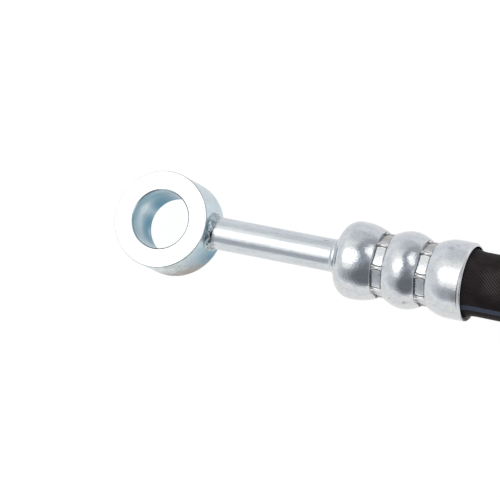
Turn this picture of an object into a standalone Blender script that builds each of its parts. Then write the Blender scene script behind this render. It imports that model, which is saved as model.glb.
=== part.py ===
"""Power steering pressure hose with a banjo eye, a steel pipe and a crimped ferrule at each end.

Units are metres and +Z is up. The hose lies on a surface at z = 0, as it would come to rest, with the
bores of its eyes upright. The near fitting's pipe runs along +X towards the hose. The origin is on the
surface, under the middle of the near fitting.
"""

from math import cos, pi, radians, sin, tan

import bmesh
import bpy
import numpy as np
from mathutils import Vector

MM = 0.001

# Gap left between pieces that touch, and how far a cutter runs past what it cuts
GAP = 0.3 * MM
OVERRUN = 2.0 * MM

# Banjo eye
EYE_DIAMETER = 27.0 * MM
EYE_HEIGHT = 14.4 * MM
EYE_BORE = 16.2 * MM
EYE_RIM_CHAMFER = 0.2 * MM
EYE_BORE_CHAMFER = 0.35 * MM
PORT_DIAMETER = 5.0 * MM
PIPE_SEAT_DEPTH = 3.2 * MM

# Braze fillet between the pipe and the rim of the eye
BRAZE_REACH = 1.4 * MM
BRAZE_FOOT = 0.9 * MM
BRAZE_TOE = 0.25 * MM

# Pipe and the stem that it forms inside the hose
PIPE_DIAMETER = 9.0 * MM
PIPE_WALL = 1.25 * MM
PIPE_EXPOSED = 37.4 * MM
BEAD_HEIGHT = 0.55 * MM
BEAD_WIDTH = 1.0 * MM
STEM_LENGTH = 33.0 * MM
STEM_NOSE = 0.8 * MM
BARB_COUNT = 4
BARB_PITCH = 5.4 * MM
BARB_DEPTH = 0.35 * MM

# Crimped ferrule: three bulges with a pressed groove between each two, from the pipe to the mouth.
# The last bulge is the widest, and the others' crests are a little less.
FERRULE_WALL = 1.2 * MM
NECK_DIAMETER = 11.2 * MM
NECK_LENGTH = 0.35 * MM
FIRST_BULGE_LENGTH = 12.1 * MM
MIDDLE_BULGE_LENGTH = 9.1 * MM
LAST_BULGE_LENGTH = 10.2 * MM
CREST_DIAMETER = 21.4 * MM
FIRST_CREST_LESS = 0.06 * MM
MIDDLE_CREST_LESS = 0.2 * MM
CREST_SHARES = (0.44, 0.50, 0.53)
SHOULDER_DIAMETER = 18.5 * MM
MOUTH_DIAMETER = 21.3 * MM
MOUTH_WALL = 1.0 * MM
MOUTH_BEVEL_LENGTH = 0.5 * MM
MOUTH_BEVEL_DEPTH = 0.16 * MM
GROOVE_WIDTH = 3.4 * MM
JAW_COUNT = 8
JAW_FLATS = 16.3 * MM
JAW_TURN = radians(-9.8)
RIDGE_WIDTH = 0.5 * MM
RIDGE_BASE = 1.0 * MM
RIDGE_DIAMETER = 17.6 * MM

# Hose
HOSE_DIAMETER = 17.5 * MM
HOSE_BORE = 9.95 * MM

# Centre line of the free hose, from the near mouth to the far one: along, across and up
ROUTE = tuple(
    Vector(point) * MM
    for point in (
        (0.0, 0.0, 0.0),
        (23.3, 0.0, -0.1),
        (46.5, 1.1, -0.6),
        (69.2, 5.7, -1.3),
        (90.3, 15.4, -1.8),
        (108.2, 30.1, -1.9),
        (121.9, 48.8, -1.9),
        (130.5, 70.4, -1.9),
        (133.4, 93.4, -1.9),
        (130.5, 116.4, -1.9),
        (121.9, 137.9, -1.9),
        (108.2, 156.6, -1.9),
        (90.3, 171.3, -1.8),
        (69.2, 181.1, -1.3),
        (46.5, 185.6, -0.6),
        (23.3, 186.7, -0.1),
        (0.0, 186.7, 0.0),
    )
)
ROUTE_STEP = 15.0 * MM

# Facets around the turned pieces, the smoothness of the hose, and the angle from which an edge is sharp
EYE_FACETS = 40
PIPE_FACETS = 24
FERRULE_FACETS = 32
BRAZE_FACETS = 24
HOSE_RESOLUTION = 4
SHARP_FROM = radians(30.0)

# The bulges in order from the neck to the mouth
BULGE_LENGTHS = (FIRST_BULGE_LENGTH, MIDDLE_BULGE_LENGTH, LAST_BULGE_LENGTH)
CREST_DIAMETERS = (CREST_DIAMETER - FIRST_CREST_LESS, CREST_DIAMETER - MIDDLE_CREST_LESS, CREST_DIAMETER)

# Places along a fitting, from the axis of its eye
EYE_RADIUS = EYE_DIAMETER / 2
NECK_AT = EYE_RADIUS + PIPE_EXPOSED
FERRULE_LENGTH = sum(BULGE_LENGTHS) + 2 * GROOVE_WIDTH
MOUTH_AT = NECK_AT + FERRULE_LENGTH
AXIS_HEIGHT = CREST_DIAMETER / 2
EYE_AT = Vector(((EYE_RADIUS - MOUTH_AT) / 2, 0.0, AXIS_HEIGHT))

for old in list(bpy.data.objects):
    bpy.data.objects.remove(old, do_unlink=True)

hose_parts = bpy.data.collections.new("power_steering_hose")
cutters = bpy.data.collections.new("cutters")
for collection in (hose_parts, cutters):
    bpy.context.scene.collection.children.link(collection)
cutters.hide_render = True


def material(name, colour, roughness, metallic):
    """A Principled material in one colour."""
    made = bpy.data.materials.new(name)
    made.use_nodes = True
    shader = made.node_tree.nodes["Principled BSDF"]
    shader.inputs["Base Color"].default_value = (*colour, 1.0)
    shader.inputs["Roughness"].default_value = roughness
    shader.inputs["Metallic"].default_value = metallic
    return made


ZINC_EYE = material("zinc_eye", (0.60, 0.70, 0.735), 0.25, 1.0)
ZINC_PIPE = material("zinc_pipe", (0.64, 0.69, 0.73), 0.2, 1.0)
ZINC_FERRULE = material("zinc_ferrule", (0.62, 0.655, 0.685), 0.25, 1.0)
BRAZE = material("braze", (0.50, 0.57, 0.60), 0.35, 1.0)
RUBBER = material("rubber", (0.030, 0.026, 0.027), 0.55, 0.0)


def add(name, mesh, parent=None, finish=None):
    """Puts a mesh in the scene as a part or, with no finish, as a cutter."""
    made = bpy.data.objects.new(name, mesh)
    (hose_parts if finish else cutters).objects.link(made)
    made.parent = parent
    if finish:
        mesh.materials.append(finish)
    else:
        made.hide_render = True
        made.display_type = "WIRE"
    return made


def turned(name, profile, facets, closed, parent, finish=None, along_pipe=True):
    """Revolves a profile of (radius, place) points, listed down its outer side from top to bottom."""
    mesh = bpy.data.meshes.new(name)
    points = [(radius, 0.0, place) for radius, place in profile]
    edges = [(i, i + 1) for i in range(len(points) - 1)]
    if closed:
        edges.append((len(points) - 1, 0))
    mesh.from_pydata(points, edges, [])
    made = add(name, mesh, parent, finish)
    screw = made.modifiers.new("turn", "SCREW")
    screw.angle = 2 * pi
    screw.steps = screw.render_steps = facets
    screw.use_merge_vertices = True
    screw.merge_threshold = 0.01 * MM
    screw.use_smooth_shade = True
    if along_pipe:
        made.rotation_euler = (0.0, pi / 2, 0.0)
    return made


def cut(target, cutter):
    """Takes the cutter out of the target."""
    boolean = target.modifiers.new("cut_" + cutter.name, "BOOLEAN")
    boolean.operation = "DIFFERENCE"
    boolean.solver = "EXACT"
    boolean.object = cutter


def crisp(target):
    """Shades the edges of a smooth part sharp where its faces turn by more than the sharp angle."""
    split = target.modifiers.new("sharp_edges", "EDGE_SPLIT")
    split.split_angle = SHARP_FROM


def quadratic(start, control, end, count):
    """Points of a quadratic Bezier curve after its start."""
    start, control, end = Vector(start), Vector(control), Vector(end)
    shares = [i / count for i in range(1, count + 1)]
    return [tuple((1 - t) ** 2 * start + 2 * t * (1 - t) * control + t * t * end) for t in shares]


def banjo_eye(prefix, place):
    """The eye: a bevelled ring with a stepped seat for the pipe."""
    top = EYE_HEIGHT / 2
    bore = EYE_BORE / 2
    half_side = [
        (bore, top - EYE_BORE_CHAMFER),
        (bore + EYE_BORE_CHAMFER, top),
        (EYE_RADIUS - EYE_RIM_CHAMFER, top),
        (EYE_RADIUS, top - EYE_RIM_CHAMFER),
    ]
    lower = [(radius, -place_z) for radius, place_z in reversed(half_side)]
    eye = turned(prefix + "banjo_eye", half_side + lower, EYE_FACETS, True, place, ZINC_EYE, along_pipe=False)

    outside = EYE_RADIUS + OVERRUN
    shoulder = EYE_RADIUS - PIPE_SEAT_DEPTH - GAP
    seat_radius = PIPE_DIAMETER / 2 + GAP
    port_radius = PORT_DIAMETER / 2
    seat_profile = [
        (0.0, outside),
        (seat_radius, outside),
        (seat_radius, shoulder),
        (port_radius, shoulder),
        (port_radius, bore - OVERRUN),
        (0.0, bore - OVERRUN),
    ]
    cut(eye, turned(prefix + "pipe_seat_cutter", seat_profile, PIPE_FACETS, False, place))
    crisp(eye)


def banjo_braze(prefix, place):
    """The fillet: a hollow curve swept round the pipe whose foot follows the round rim of the eye.

    It reaches further along the pipe than its foot does up the rim. At each angle its section runs from
    the toe on the pipe, along the hollow curve to the toe on the rim, back along the rim to the pipe, and
    along the pipe to the first toe.
    """
    pipe = PIPE_DIAMETER / 2 + GAP
    foot = pipe + BRAZE_FOOT
    rim = EYE_RADIUS + GAP

    def rim_at(radius, angle):
        return (rim**2 - (radius * cos(angle)) ** 2) ** 0.5

    mesh = bpy.data.meshes.new(prefix + "banjo_braze")
    form = bmesh.new()
    rings = []
    for i in range(BRAZE_FACETS):
        angle = 2 * pi * i / BRAZE_FACETS
        inner, outer = rim_at(pipe, angle), rim_at(foot, angle)
        section = [(pipe + BRAZE_TOE, inner + BRAZE_REACH)]
        corner = (pipe + BRAZE_TOE * 2, inner + BRAZE_TOE * 2)
        section += quadratic(section[0], corner, (foot, outer + BRAZE_TOE), 5)
        section += [(foot, outer), ((pipe + foot) / 2, rim_at((pipe + foot) / 2, angle))]
        section += [(pipe, inner), (pipe, inner + BRAZE_REACH)]
        ring = [form.verts.new((x, r * cos(angle), r * sin(angle))) for r, x in section]
        rings.append(ring)
    for ring, following in zip(rings, rings[1:] + rings[:1]):
        for j in range(len(ring)):
            k = (j + 1) % len(ring)
            form.faces.new((ring[j], ring[k], following[k], following[j]))
    bmesh.ops.recalc_face_normals(form, faces=form.faces)
    form.to_mesh(mesh)
    form.free()
    mesh.shade_smooth()
    crisp(add(prefix + "banjo_braze", mesh, place, BRAZE))


def banjo_pipe(prefix, place):
    """The pipe, from its seat in the eye past the bead at the ferrule to the barbed stem in the hose."""
    outer = PIPE_DIAMETER / 2
    inner = outer - PIPE_WALL
    seat = EYE_RADIUS - PIPE_SEAT_DEPTH
    bead_end = NECK_AT - GAP
    bead_start = bead_end - BEAD_WIDTH
    stem_end = NECK_AT + STEM_LENGTH
    side = [(outer, seat), (outer, bead_start), (outer + BEAD_HEIGHT, bead_start + BEAD_HEIGHT / 2)]
    side += [(outer + BEAD_HEIGHT, bead_end - BEAD_HEIGHT / 3), (outer, bead_end)]
    first_barb = stem_end - STEM_NOSE - BARB_COUNT * BARB_PITCH
    for i in range(BARB_COUNT):
        crest = first_barb + i * BARB_PITCH
        side += [(outer, crest), (outer - BARB_DEPTH, crest + BARB_DEPTH)]
    side += [(outer, stem_end - STEM_NOSE), (outer - BARB_DEPTH, stem_end)]
    bore = [(inner, seat), (inner, stem_end)]
    crisp(turned(prefix + "banjo_pipe", side[::-1] + bore, PIPE_FACETS, True, place, ZINC_PIPE))


def bulge_spans():
    """Start and end of each bulge, measured from the neck of the ferrule."""
    spans, start = [], 0.0
    for length in BULGE_LENGTHS:
        spans.append((start, start + length))
        start += length + GROOVE_WIDTH
    return spans


def ferrule_outside():
    """Outer outline from neck to mouth. Each flank is a parabola through its crest and its shoulder.

    A flank runs on past its shoulder to the middle of the groove, where the jaws cut it away.
    """
    spans = bulge_spans()
    shoulder = SHOULDER_DIAMETER / 2
    neck = NECK_DIAMETER / 2
    outline = [(neck, 0.0), (neck, NECK_LENGTH)]
    for i, (start, end) in enumerate(spans):
        crest_at = start + (end - start) * CREST_SHARES[i]
        crest = CREST_DIAMETERS[i] / 2
        if i == 0:
            cheek = (crest, 0.19 * crest_at)
            outline += quadratic(outline[-1], cheek, (crest, crest_at), 7)
        else:
            reach = (crest_at - start + GROOVE_WIDTH * 0.45) / (crest_at - start)
            rise = [reach * (1 - j / 4) for j in range(4)]
            outline += [(crest - (crest - shoulder) * t * t, crest_at - t * (crest_at - start)) for t in rise]
            outline.append((crest, crest_at))
        if i < len(spans) - 1:
            reach = (end - crest_at + GROOVE_WIDTH * 0.45) / (end - crest_at)
            fall = [reach * j / 4 for j in range(1, 5)]
            outline += [(crest - (crest - shoulder) * t * t, crest_at + t * (end - crest_at)) for t in fall]
    mouth = MOUTH_DIAMETER / 2
    outline += [(mouth, FERRULE_LENGTH - MOUTH_BEVEL_LENGTH), (mouth - MOUTH_BEVEL_DEPTH, FERRULE_LENGTH)]
    return outline


def ferrule_inside():
    """Inner outline from neck to mouth: the flange's hole, then the chamber with a waist at each groove."""
    hole = PIPE_DIAMETER / 2 + GAP
    waist = JAW_FLATS / 2 - FERRULE_WALL
    chamber = SHOULDER_DIAMETER / 2 - FERRULE_WALL
    spans = bulge_spans()
    outline = [(hole, 0.0), (hole, FERRULE_WALL * 1.3), (chamber - FERRULE_WALL / 2, FERRULE_WALL * 1.3)]
    for i, (start, end) in enumerate(spans):
        crest = CREST_DIAMETERS[i] / 2 - FERRULE_WALL
        crest_at = start + (end - start) * CREST_SHARES[i]
        if i > 0:
            outline.append((chamber, start + FERRULE_WALL * 1.6))
        outline.append((crest, crest_at))
        if i < len(spans) - 1:
            outline.append((chamber, end - FERRULE_WALL * 1.6))
            outline.append((waist, end - FERRULE_WALL / 2))
            outline.append((waist, end + GROOVE_WIDTH + FERRULE_WALL / 2))
    outline.append((MOUTH_DIAMETER / 2 - MOUTH_WALL, FERRULE_LENGTH))
    return outline


def jaw_outline():
    """What eight crimping jaws leave of a groove's floor: a flat for each jaw and a ridge between two."""
    flat = JAW_FLATS / 2
    sector = 2 * pi / JAW_COUNT
    half_flat = flat * tan(sector / 2) - RIDGE_BASE / 2
    ridge_turn = RIDGE_WIDTH / RIDGE_DIAMETER
    points = []
    for i in range(JAW_COUNT):
        middle = JAW_TURN + i * sector
        along, across = Vector((cos(middle), sin(middle))), Vector((-sin(middle), cos(middle)))
        points += [along * flat - across * half_flat, along * flat + across * half_flat]
        for turn in (middle + sector / 2 - ridge_turn, middle + sector / 2 + ridge_turn):
            points.append(Vector((cos(turn), sin(turn))) * RIDGE_DIAMETER / 2)
    return points


def ring_outline(diameter, sides):
    """A regular outline."""
    turns = [2 * pi * i / sides for i in range(sides)]
    return [Vector((cos(turn), sin(turn))) * diameter / 2 for turn in turns]


def flat_curve(name, outlines, thickness):
    """A filled flat curve of closed outlines, the inner ones as holes, made solid."""
    curve = bpy.data.curves.new(name, "CURVE")
    curve.dimensions = "2D"
    curve.fill_mode = "BOTH"
    curve.extrude = thickness / 2
    for outline in outlines:
        spline = curve.splines.new("POLY")
        spline.points.add(len(outline) - 1)
        for point, (x, y) in zip(spline.points, outline):
            point.co = (x, y, 0.0, 1.0)
        spline.use_cyclic_u = True
    return add(name, curve)


def as_mesh(source):
    """The mesh of a curve with its caps joined, in the curve's place. The curve is removed."""
    bpy.context.view_layer.update()
    evaluated = source.evaluated_get(bpy.context.evaluated_depsgraph_get())
    mesh = bpy.data.meshes.new_from_object(evaluated)
    form = bmesh.new()
    form.from_mesh(mesh)
    bmesh.ops.remove_doubles(form, verts=form.verts, dist=0.01 * MM)
    bmesh.ops.recalc_face_normals(form, faces=form.faces)
    form.to_mesh(mesh)
    form.free()
    name, matrix = source.name, source.matrix_world.copy()
    bpy.data.objects.remove(source, do_unlink=True)
    mesh.name = name
    return mesh, matrix


def crimp_ferrule(prefix, place):
    """The ferrule: a turned sleeve of three bulges, with a groove pressed by the jaws between each two."""
    shell = [(radius, NECK_AT + at) for radius, at in reversed(ferrule_outside())]
    shell += [(radius, NECK_AT + at) for radius, at in ferrule_inside()]
    ferrule = turned(prefix + "crimp_ferrule", shell, FERRULE_FACETS, True, place, ZINC_FERRULE)
    outer_ring = ring_outline(CREST_DIAMETER + 2 * OVERRUN, JAW_COUNT)
    for i, (_, end) in enumerate(bulge_spans()[:-1]):
        curve = flat_curve(f"{prefix}jaw_cutter_{i + 1}", (outer_ring, jaw_outline()), GROOVE_WIDTH)
        mesh, _ = as_mesh(curve)
        cutter = add(f"{prefix}jaw_cutter_{i + 1}", mesh, place)
        cutter.location = (NECK_AT + end + GROOVE_WIDTH / 2, 0.0, 0.0)
        cutter.rotation_euler = (0.0, pi / 2, 0.0)
        cut(ferrule, cutter)
    crisp(ferrule)


def smooth_route(points, step, start_direction, end_direction):
    """Points every step along the cubic spline through the given ones, which leaves and arrives straight.

    With chord lengths as the parameter, the slopes at the given points solve the usual tridiagonal
    system that makes the curvature continuous.
    """
    given = np.array(points)
    chord = np.linalg.norm(np.diff(given, axis=0), axis=1)
    at = np.concatenate(([0.0], np.cumsum(chord)))
    count = len(given)
    system = np.eye(count)
    right = np.zeros((count, 3))
    right[0], right[-1] = start_direction, end_direction
    for i in range(1, count - 1):
        before, after = chord[i - 1], chord[i]
        system[i, i - 1 : i + 2] = after, 2 * (before + after), before
        rise_before = (given[i] - given[i - 1]) / before
        rise_after = (given[i + 1] - given[i]) / after
        right[i] = 3 * (after * rise_before + before * rise_after)
    slope = np.linalg.solve(system, right)
    wanted = np.linspace(0.0, at[-1], round(at[-1] / step) + 1)
    i = np.clip(np.searchsorted(at, wanted, side="right") - 1, 0, count - 2)
    span = chord[i][:, None]
    t = (wanted - at[i])[:, None] / span
    return (
        given[i] * (1 + 2 * t) * (1 - t) ** 2
        + slope[i] * span * t * (1 - t) ** 2
        + given[i + 1] * t * t * (3 - 2 * t)
        + slope[i + 1] * span * t * t * (t - 1)
    )


def crimped_hose():
    """Places past the neck and radii of the hose under the ferrule, where it fills the sleeve."""
    chamber = ferrule_inside()[2:]
    outline = []
    for i, (radius, at) in enumerate(chamber):
        radius = min(radius - GAP, HOSE_DIAMETER / 2)
        outline.append((at + GAP if i == 0 else at, radius))
    return outline


def tube(name, points, radii):
    """A round tube along the points with a radius at each, as a curve with filled caps."""
    curve = bpy.data.curves.new(name, "CURVE")
    curve.dimensions = "3D"
    curve.bevel_depth = 1.0
    curve.bevel_resolution = HOSE_RESOLUTION
    curve.use_fill_caps = True
    spline = curve.splines.new("POLY")
    spline.points.add(len(points) - 1)
    for point, place, radius in zip(spline.points, points, radii):
        point.co = (*place, 1.0)
        point.radius = radius
    return add(name, curve)


def pressure_hose(near_mouth, far_mouth):
    """The hose, from the chamber of the near ferrule along its route into the far one."""
    along = Vector((1.0, 0.0, 0.0))
    free = smooth_route([near_mouth + point for point in ROUTE], ROUTE_STEP, along, -along)
    crimped = crimped_hose()
    near = [near_mouth + along * (at - FERRULE_LENGTH) for at, _ in crimped]
    far = [far_mouth + along * (at - FERRULE_LENGTH) for at, _ in reversed(crimped)]
    squeezed = [radius for _, radius in crimped]
    points = near[:-1] + [Vector(point) for point in free] + far[1:]
    radii = squeezed[:-1] + [HOSE_DIAMETER / 2] * len(free) + squeezed[::-1][1:]
    body, _ = as_mesh(tube("pressure_hose", points, radii))
    hose = add("pressure_hose", body, None, RUBBER)
    body.shade_smooth()

    start, end = near[0] - along * OVERRUN, far[-1] - along * OVERRUN
    bore_points = [start] + [Vector(point) for point in free] + [end]
    bore_mesh, _ = as_mesh(tube("hose_bore_cutter", bore_points, [HOSE_BORE / 2] * len(bore_points)))
    cut(hose, add("hose_bore_cutter", bore_mesh))
    crisp(hose)


def fitting(prefix, eye_at):
    """One end of the hose, built around the middle of its eye with the pipe along +X."""
    place = bpy.data.objects.new(prefix + "fitting", None)
    hose_parts.objects.link(place)
    place.location = eye_at
    banjo_eye(prefix, place)
    banjo_braze(prefix, place)
    banjo_pipe(prefix, place)
    crimp_ferrule(prefix, place)


near_mouth = EYE_AT + Vector((MOUTH_AT, 0.0, 0.0))
far_mouth = near_mouth + ROUTE[-1]
fitting("", EYE_AT)
fitting("far_", EYE_AT + ROUTE[-1])
pressure_hose(near_mouth, far_mouth)
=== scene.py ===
"""Dressed model of a power steering pressure hose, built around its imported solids.

Units are metres and +Z is up. The fitting that the camera sees has its pipe along +X, and the far
fitting is the same one moved across. Angles round a pipe or the hose run from up towards +Y, and
places along a fitting are measured from the axis of its eye.
"""

from math import cos, pi, radians, sin

import bpy
import numpy as np
from mathutils import Matrix


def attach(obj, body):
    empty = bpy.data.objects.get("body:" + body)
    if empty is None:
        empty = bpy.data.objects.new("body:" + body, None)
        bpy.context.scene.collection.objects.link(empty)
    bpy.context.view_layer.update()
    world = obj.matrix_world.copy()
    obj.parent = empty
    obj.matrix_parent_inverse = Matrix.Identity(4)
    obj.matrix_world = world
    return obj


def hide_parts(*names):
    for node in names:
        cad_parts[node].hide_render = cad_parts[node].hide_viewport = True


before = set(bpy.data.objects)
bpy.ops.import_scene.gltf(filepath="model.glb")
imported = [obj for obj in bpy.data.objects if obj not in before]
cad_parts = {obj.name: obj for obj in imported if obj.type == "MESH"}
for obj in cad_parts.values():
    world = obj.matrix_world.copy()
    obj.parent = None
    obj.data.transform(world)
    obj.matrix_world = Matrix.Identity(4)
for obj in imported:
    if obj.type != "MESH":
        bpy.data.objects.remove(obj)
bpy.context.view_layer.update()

MM = 0.001

# Camera: place, axes and lens
CAMERA_AT = (0.34449, -0.09925, 0.92969)
CAMERA_RIGHT = (0.91527, 0.22826, -0.33192)
CAMERA_UP = (-0.17944, 0.96873, 0.17136)
CAMERA_BACK = (0.36066, -0.09728, 0.92761)
CAMERA_LENS = 261.18
CAMERA_SENSOR = 36.0
CAMERA_REACH = 20.0

# Banjo eye
EYE_RADIUS = 13.5 * MM
EYE_HEIGHT = 14.4 * MM
EYE_BORE = 8.1 * MM
EYE_RIM_CHAMFER = 0.2 * MM
EYE_BORE_CHAMFER = 0.35 * MM
LOWER_BORE_CHAMFER = 0.15 * MM  # less than the upper one, as seen through the bore
EYE_TRIM = 0.12 * MM  # how far back a corner's rounding begins
LOWER_BORE_TRIM = 0.05 * MM
EYE_STEP = 0.6 * MM
RIM_GRIME = 0.15 * MM
PORT_RADIUS = 2.5 * MM
PIPE_SEAT_DEPTH = 3.2 * MM
GAP = 0.3 * MM
OVERRUN = 2.0 * MM
CUTTER_CORE = 0.01 * MM  # keeps the cutter's inner edge off its axis
SHARP_FROM = radians(40)

# Braze fillet
BRAZE_REACH = 1.4 * MM
BRAZE_FOOT = 0.9 * MM
BRAZE_TOE = 0.25 * MM
BRAZE_OFF = 0.02 * MM  # off the pipe and off the rim
TOE_EDGE = 0.05 * MM
BRAZE_LUMPS = 0.22
BRAZE_SWELL = 0.12

# Pipe and its stem
PIPE_RADIUS = 4.5 * MM
PIPE_BORE = 3.25 * MM
PIPE_EXPOSED = 37.4 * MM
BEAD_HEIGHT = 0.55 * MM
BEAD_WIDTH = 1.0 * MM
BEAD_FOOT = 0.25 * MM
BEAD_SLOPE = 0.35 * MM
BEAD_OFF = 0.05 * MM
STEM_LENGTH = 33.0 * MM
PIPE_STEP = 1.2 * MM

# Crimped ferrule, from its neck to its mouth
FERRULE_WALL = 1.2 * MM
MOUTH_WALL = 1.0 * MM
NECK_RADIUS = 5.6 * MM
NECK_LENGTH = 0.35 * MM
NECK_ROUNDING = 0.15 * MM
NECK_HOLE_EDGE = MM * np.array(((0.0, 0.06, 0.2),))
NECK_FACE = 0.4 * MM  # from the hole to where the neck's flat face begins
BULGE_LENGTHS = (12.1 * MM, 9.1 * MM, 10.2 * MM)
CREST_SHARES = (0.44, 0.50, 0.53)
CREST_RADII = (10.67 * MM, 10.6 * MM, 10.7 * MM)
CHEEK_CORNER = 0.19  # share of the way to the first crest where the cheek's curve has its corner
FIRST_FALL = 2.3  # power of the first bulge's fall
SHOULDER_RADIUS = 9.25 * MM
MOUTH_RADIUS = 10.65 * MM
MOUTH_BEVEL = (0.72 * MM, 0.5 * MM)
LIP_ROUNDING = 0.14 * MM
LIP_DROP = 0.03 * MM
LIP_WIDTH = 0.36 * MM
INNER_EDGE = (0.1 * MM, 0.08 * MM)  # along and across
THROAT_LENGTH = 0.8 * MM
THROAT_STEP = 0.02 * MM
WALL_ENDS = (0.2 * MM, 1.0 * MM)  # of the inner wall, from the neck and from the mouth
WALL_STEP = 1.6 * MM
FLANGE_WALLS = 1.3
WAIST_WALLS = 1.6
GROOVE_WIDTH = 3.4 * MM
JAW_COUNT = 8
JAW_FLAT = 8.15 * MM
JAW_CROWN = 0.6
JAW_MIDDLE = radians(9.8)
RIDGE_RADIUS = 8.78 * MM
RIDGE_FLARE = 0.34 * MM
RIDGE_TOP = 0.12 * MM
RIDGE_FOOT = 0.48 * MM
RIDGE_TOP_GROWTH = 3.2
RIDGE_FOOT_GROWTH = 0.9
WALL_DRAFT = 0.03 * MM
WALL_FILLET = 0.06 * MM
EDGE_ROUNDING = 0.09 * MM
EVEN_SHARE = 0.3  # share of the turns that are evenly spread, while the rest gather at the ridges

# Painted shade, dark seams and painted highlights in a groove: how far from the wall or ridge each line of
# them lies, and its width
SHADE_BEFORE = (0.08 * MM, 0.18 * MM)
SHADE_BEHIND = (0.5 * MM, 0.15 * MM)
SEAM = (0.03 * MM, 0.14 * MM)
EDGE_HIGHLIGHT = (0.33 * MM, 0.15 * MM)

# Hose
HOSE_RADIUS = 8.75 * MM
HOSE_BORE = 4.975 * MM
HOSE_STEP = 0.75 * MM
HOSE_FLARE = 0.45 * MM
FLARE_WIDTH = 1.4 * MM
FLARE_INSIDE = 0.3 * MM
STRIPE_TURN = radians(-57.0)
STRIPE_WIDTH = 1.8 * MM

# Centre line of the free hose, from the near mouth: along, across and up. The far side of the bend is
# drawn in a little, because the smooth hose has to stay inside the box of the faceted solid.
ROUTE = MM * np.array(
    (
        (0.0, 0.0, 0.0),
        (23.3, 0.0, -0.1),
        (46.5, 1.1, -0.6),
        (69.2, 5.7, -1.3),
        (90.3, 15.4, -1.8),
        (108.2, 30.1, -1.9),
        (121.9, 48.8, -1.9),
        (130.2, 70.4, -1.9),
        (133.05, 93.4, -1.9),
        (130.2, 116.4, -1.9),
        (121.9, 137.9, -1.9),
        (108.2, 156.6, -1.9),
        (90.3, 171.3, -1.8),
        (69.2, 181.1, -1.3),
        (46.5, 185.6, -0.6),
        (23.3, 186.7, -0.1),
        (0.0, 186.7, 0.0),
    )
)

# Places along a fitting, from the axis of its eye
NECK_AT = EYE_RADIUS + PIPE_EXPOSED
FERRULE_LENGTH = sum(BULGE_LENGTHS) + 2 * GROOVE_WIDTH
MOUTH_AT = NECK_AT + FERRULE_LENGTH
AXIS_HEIGHT = max(CREST_RADII)
EYE_AT = np.array(((EYE_RADIUS - MOUTH_AT) / 2, 0.0, AXIS_HEIGHT))
NEAR_MOUTH = EYE_AT + (MOUTH_AT, 0.0, 0.0)
FAR_MOVE = ROUTE[-1]

# Steps round the turned pieces, the seat's cutter and one jaw's sector, and along the curves
TURN_STEPS = 144
CUTTER_STEPS = 48
SECTOR_STEPS = 40
CORNER_STEPS = 5
BRAZE_STEPS = 23
CHEEK_STEPS = 36
FLOOR_STEPS = 22


def in_scene(name, data):
    """A new object of some data, in the scene."""
    made = bpy.data.objects.new(name, data)
    bpy.context.scene.collection.objects.link(made)
    return made


def photo_camera():
    """The camera at the photograph's viewing angle. Its axes are the columns of its matrix."""
    data = bpy.data.cameras.new("photo_camera")
    data.lens = CAMERA_LENS
    data.sensor_fit = "HORIZONTAL"
    data.sensor_width = CAMERA_SENSOR
    data.clip_end = CAMERA_REACH
    made = in_scene("photo_camera", data)
    axes = np.eye(4)
    axes[:3] = np.array((CAMERA_RIGHT, CAMERA_UP, CAMERA_BACK, CAMERA_AT)).T
    made.matrix_world = Matrix(axes)
    return made


bpy.context.scene.camera = photo_camera()
bpy.context.scene.view_settings.view_transform = "Standard"


def put(tree, kind, inputs=None, **settings):
    """A node of a kind with its settings. An input is given by name or number, as a value or a socket."""
    made = tree.nodes.new(kind)
    for name, value in settings.items():
        setattr(made, name, value)
    for name, value in (inputs or {}).items():
        if isinstance(value, bpy.types.NodeSocket):
            tree.links.new(value, made.inputs[name])
        else:
            made.inputs[name].default_value = value
    return made


def maths(tree, operation, *values):
    """The result of a maths node."""
    return put(tree, "ShaderNodeMath", dict(enumerate(values)), operation=operation).outputs[0]


def blend_colour(tree, share, first, second):
    """Two colours mixed by a share."""
    inputs = {"Factor": share, 6: first, 7: second}
    return put(tree, "ShaderNodeMix", inputs, data_type="RGBA").outputs[2]


def ramp(tree, value, low, high, smooth=True):
    """0 below the low value, 1 above the high one, and an even rise between them."""
    inputs = {"Value": value, "From Min": low, "From Max": high}
    kind = "SMOOTHSTEP" if smooth else "LINEAR"
    return put(tree, "ShaderNodeMapRange", inputs, interpolation_type=kind).outputs[0]


def noise(tree, place, scale, detail=2.0, roughness=0.5):
    """A noise value at a place."""
    inputs = {"Vector": place, "Scale": scale, "Detail": detail, "Roughness": roughness}
    return put(tree, "ShaderNodeTexNoise", inputs).outputs[0]


def new_group(name, inputs, outputs):
    """An empty node group with named sockets: its tree, its input sockets and its output node."""
    tree = bpy.data.node_groups.new(name, "ShaderNodeTree")
    for way, sockets in (("INPUT", inputs), ("OUTPUT", outputs)):
        for socket, kind in sockets.items():
            tree.interface.new_socket(socket, in_out=way, socket_type="NodeSocket" + kind)
    source = tree.nodes.new("NodeGroupInput")
    return tree, source.outputs, tree.nodes.new("NodeGroupOutput")


# Colour of worn metal, which also paints highlights on the eye's face and chamfer and on the ferrule's
# ridges, pocket edges and bevel.
WEAR_AND_HIGHLIGHT_METAL = (0.86, 0.85, 0.845, 1.0)
SPECK_COLOUR = (0.22, 0.23, 0.25, 1.0)
SPECK_AMOUNT = 0.2
PIT_COLOUR = (0.10, 0.10, 0.10, 1.0)


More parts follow.
